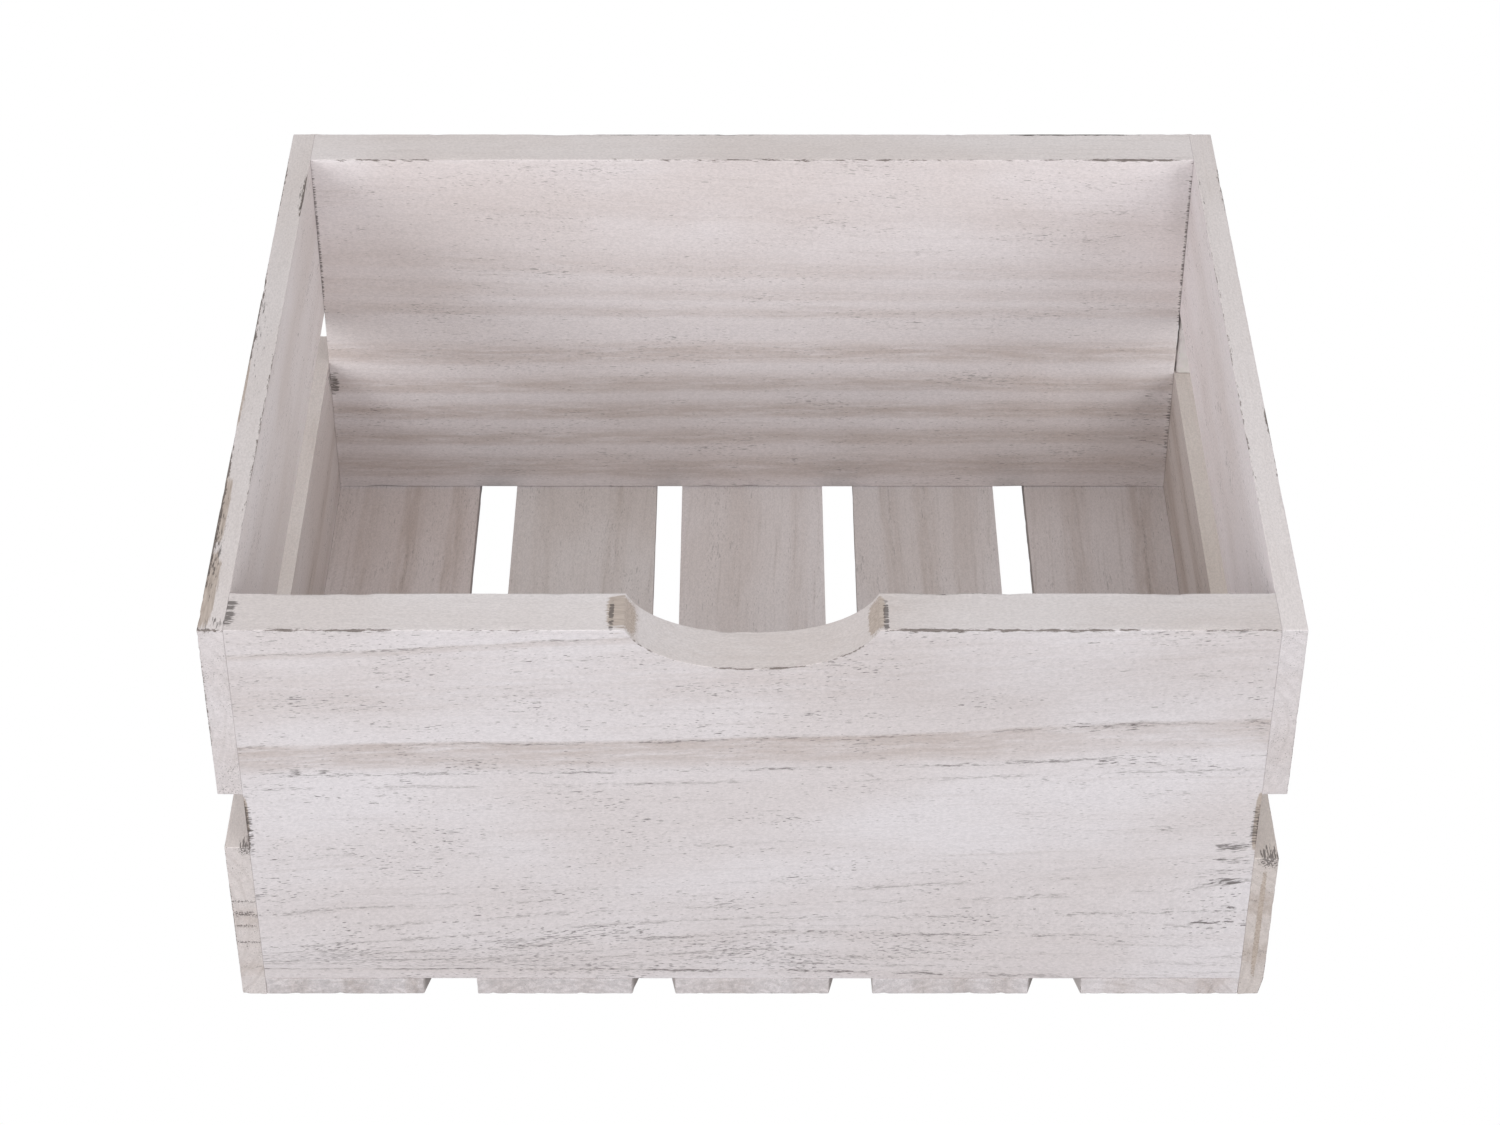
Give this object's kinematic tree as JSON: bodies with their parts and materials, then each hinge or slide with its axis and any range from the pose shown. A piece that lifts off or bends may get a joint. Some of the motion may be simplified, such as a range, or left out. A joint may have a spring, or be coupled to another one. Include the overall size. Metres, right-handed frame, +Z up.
{
  "type": "apple crate",
  "caption": "Low open-topped wooden crate with slatted sides and base, thick end boards and a hand notch in the front board, whitewashed and worn.",
  "frame": {"origin": "centre of the underside", "axes": "+X along the end boards to the right seen from the front, +Y from the notched front board to the back board, +Z up"},
  "size_m": [0.356, 0.302, 0.165],
  "materials": {
    "end_boards": "thin whitewash over greyish brown wood, rubbed back, matt",
    "side_slats": "thin whitewash over greyish brown wood, rubbed back, matt",
    "base_slats": "thin whitewash over greyish brown wood, rubbed back, matt",
    "nails": "plain wire nail, head washed over with the paint"
  },
  "bodies": {
    "root": {"front_board": "end_boards", "back_board": "end_boards", "left_upper_slat": "side_slats", "left_lower_slat": "side_slats", "right_upper_slat": "side_slats", "right_lower_slat": "side_slats", "base_slat_1": "base_slats", "base_slat_2": "base_slats", "base_slat_3": "base_slats", "base_slat_4": "base_slats", "base_slat_5": "base_slats", "left_upper_slat_nails": "nails", "left_lower_slat_nails": "nails", "right_upper_slat_nails": "nails", "right_lower_slat_nails": "nails", "base_slat_1_nails": "nails", "base_slat_2_nails": "nails", "base_slat_3_nails": "nails", "base_slat_4_nails": "nails", "base_slat_5_nails": "nails"}
  },
  "joints": []
}
